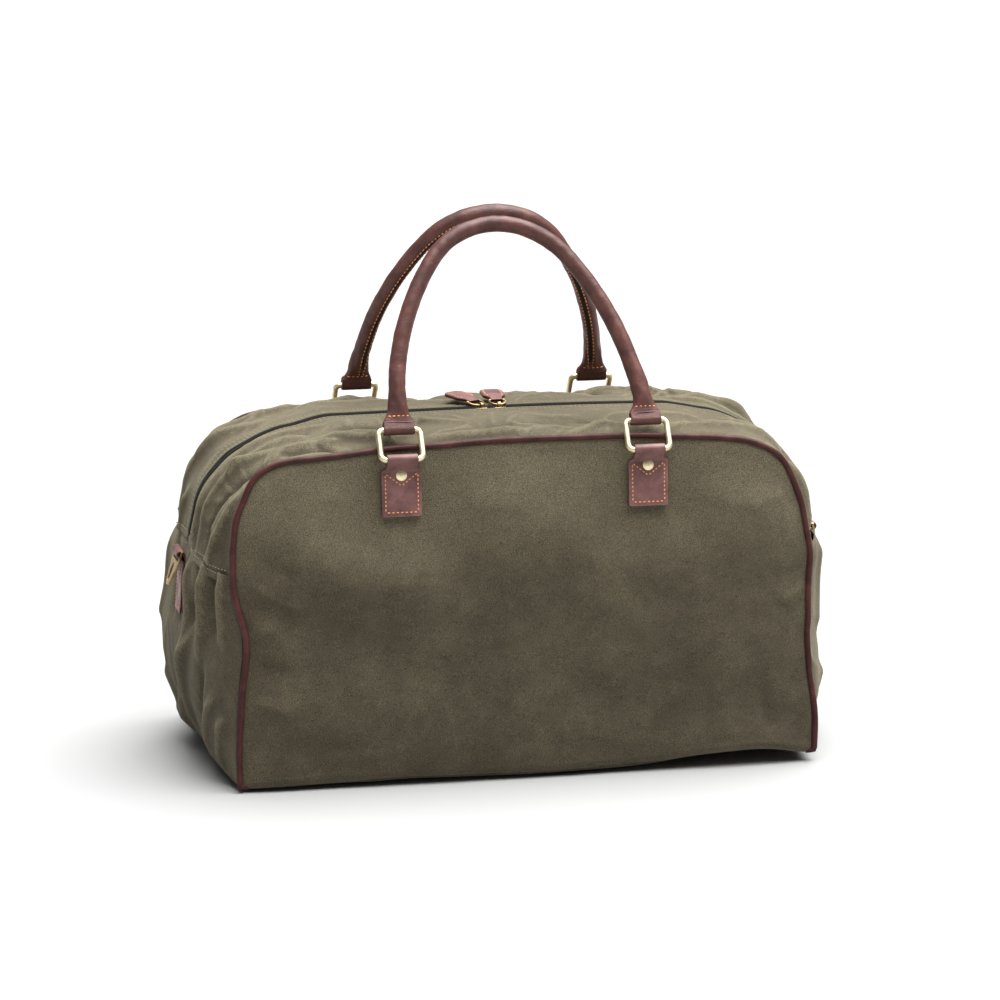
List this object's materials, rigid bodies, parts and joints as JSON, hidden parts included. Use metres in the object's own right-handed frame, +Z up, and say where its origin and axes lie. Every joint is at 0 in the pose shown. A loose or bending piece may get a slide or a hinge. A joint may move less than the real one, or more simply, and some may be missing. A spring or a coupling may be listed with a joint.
{
  "type": "weekender bag",
  "caption": "Canvas weekender bag with leather piping, two rolled handles on rings, a zip mouth that opens and a strap ring at each end.",
  "frame": {"origin": "middle of the flat base, on the floor", "axes": "+X along the length towards the bag's right end seen from the front, -Y out of the front panel, +Z up"},
  "size_m": [0.5898, 0.2708, 0.4718],
  "materials": {
    "canvas": "waxed olive canvas, fine weave, dry with a faint sheen",
    "leather": "smooth chestnut leather, half gloss, darker at the creases",
    "piping_leather": "thin chestnut leather over a cord",
    "brass": "pale polished brass",
    "antique_brass": "darker brushed brass",
    "zip_tape": "woven black tape",
    "zip_coil": "black nylon coil",
    "lining": "plain cotton lining",
    "board": "pressed stiffening board",
    "cord": "twisted cotton cord"
  },
  "bodies": {
    "bag": {"base_panel": "canvas", "base_board": "board", "front_panel": "canvas", "back_panel": "canvas", "left_end_panel": "canvas", "right_end_panel": "canvas", "front_piping": "piping_leather", "back_piping": "piping_leather", "front_piping_cord": "cord", "back_piping_cord": "cord", "front_top_strip": "canvas", "back_top_strip": "canvas", "front_zip_tape_ends": "zip_tape", "back_zip_tape_ends": "zip_tape", "front_coil_ends": "zip_coil", "back_coil_ends": "zip_coil", "lining_front": "lining", "lining_back": "lining", "lining_left": "lining", "lining_right": "lining", "lining_base": "lining", "chape_front_left": "leather", "chape_front_right": "leather", "chape_back_left": "leather", "chape_back_right": "leather", "chape_rivets": "brass", "rivet_burrs": "antique_brass", "end_tab_left": "leather", "end_tab_right": "leather"},
    "front_flap": {"front_mouth_flap": "canvas", "front_zip_tape": "zip_tape", "front_coil": "zip_coil"},
    "back_flap": {"back_mouth_flap": "canvas", "back_zip_tape": "zip_tape", "back_coil": "zip_coil"},
    "left_slider": {"slider_left": "antique_brass"},
    "right_slider": {"slider_right": "antique_brass"},
    "left_pull_ring": {"pull_ring_left": "brass"},
    "right_pull_ring": {"pull_ring_right": "brass"},
    "left_pull": {"zip_pull_left": "leather"},
    "right_pull": {"zip_pull_right": "leather"},
    "front_left_ring": {"ring_front_left": "brass"},
    "front_right_ring": {"ring_front_right": "brass"},
    "back_left_ring": {"ring_back_left": "antique_brass"},
    "back_right_ring": {"ring_back_right": "antique_brass"},
    "front_handle": {"front_handle_cover": "leather", "front_handle_core": "cord"},
    "back_handle": {"back_handle_cover": "leather", "back_handle_core": "cord"},
    "left_end_ring": {"end_ring_left": "brass"},
    "right_end_ring": {"end_ring_right": "brass"}
  },
  "joints": [
    {"name": "front_mouth_fold", "type": "hinge", "parent": "bag", "child": "front_flap", "pos_m": [0, -0.07, 0.29246], "axis": [1, 0, 0], "range_deg": [0, 75]},
    {"name": "back_mouth_fold", "type": "hinge", "parent": "bag", "child": "back_flap", "pos_m": [0, 0.07, 0.29246], "axis": [-1, 0, 0], "range_deg": [0, 75]},
    {"name": "left_slider_slide", "type": "slide", "parent": "back_flap", "child": "left_slider", "axis": [-1, 0, 0], "range_m": [0, 0.126]},
    {"name": "right_slider_slide", "type": "slide", "parent": "back_flap", "child": "right_slider", "axis": [1, 0, 0], "range_m": [0, 0.14]},
    {"name": "left_pull_ring_swing", "type": "hinge", "parent": "left_slider", "child": "left_pull_ring", "pos_m": [-0.015, 0, 0.29985], "axis": [0.8829, 0.4695, 0], "range_deg": [0, 100]},
    {"name": "right_pull_ring_swing", "type": "hinge", "parent": "right_slider", "child": "right_pull_ring", "pos_m": [0.001, 0, 0.29985], "axis": [1, 0, 0], "range_deg": [0, 100]},
    {"name": "left_pull_swing", "type": "hinge", "parent": "left_pull_ring", "child": "left_pull", "pos_m": [-0.02004, 0.00948, 0.30174], "axis": [0.8829, 0.4695, 0], "range_deg": [0, 60]},
    {"name": "right_pull_swing", "type": "hinge", "parent": "right_pull_ring", "child": "right_pull", "pos_m": [0.001, 0.01073, 0.30174], "axis": [1, 0, 0], "range_deg": [0, 60]},
    {"name": "front_left_ring_swing", "type": "hinge", "parent": "bag", "child": "front_left_ring", "pos_m": [-0.107, -0.1202, 0.28], "axis": [1, 0, 0], "range_deg": [0, 100]},
    {"name": "front_right_ring_swing", "type": "hinge", "parent": "bag", "child": "front_right_ring", "pos_m": [0.107, -0.1202, 0.28], "axis": [1, 0, 0], "range_deg": [0, 100]},
    {"name": "front_handle_swing", "type": "hinge", "parent": "front_left_ring", "child": "front_handle", "pos_m": [-0.107, -0.10404, 0.30225], "axis": [1, 0, 0], "range_deg": [-8, 95]},
    {"name": "back_left_ring_swing", "type": "hinge", "parent": "bag", "child": "back_left_ring", "pos_m": [-0.107, 0.1202, 0.28], "axis": [-1, 0, 0], "range_deg": [0, 100]},
    {"name": "back_right_ring_swing", "type": "hinge", "parent": "bag", "child": "back_right_ring", "pos_m": [0.107, 0.1202, 0.28], "axis": [-1, 0, 0], "range_deg": [0, 100]},
    {"name": "back_handle_swing", "type": "hinge", "parent": "back_left_ring", "child": "back_handle", "pos_m": [-0.107, 0.10404, 0.30225], "axis": [-1, 0, 0], "range_deg": [-8, 95]},
    {"name": "left_end_ring_swing", "type": "hinge", "parent": "bag", "child": "left_end_ring", "pos_m": [-0.28173, 0, 0.18136], "axis": [0, 1, 0], "range_deg": [0, 130]},
    {"name": "right_end_ring_swing", "type": "hinge", "parent": "bag", "child": "right_end_ring", "pos_m": [0.28173, 0, 0.18136], "axis": [0, -1, 0], "range_deg": [0, 130]}
  ],
  "couplings": [
    {"joint": "front_right_ring_swing", "follows": "front_left_ring_swing", "ratio": 1},
    {"joint": "back_right_ring_swing", "follows": "back_left_ring_swing", "ratio": 1}
  ]
}
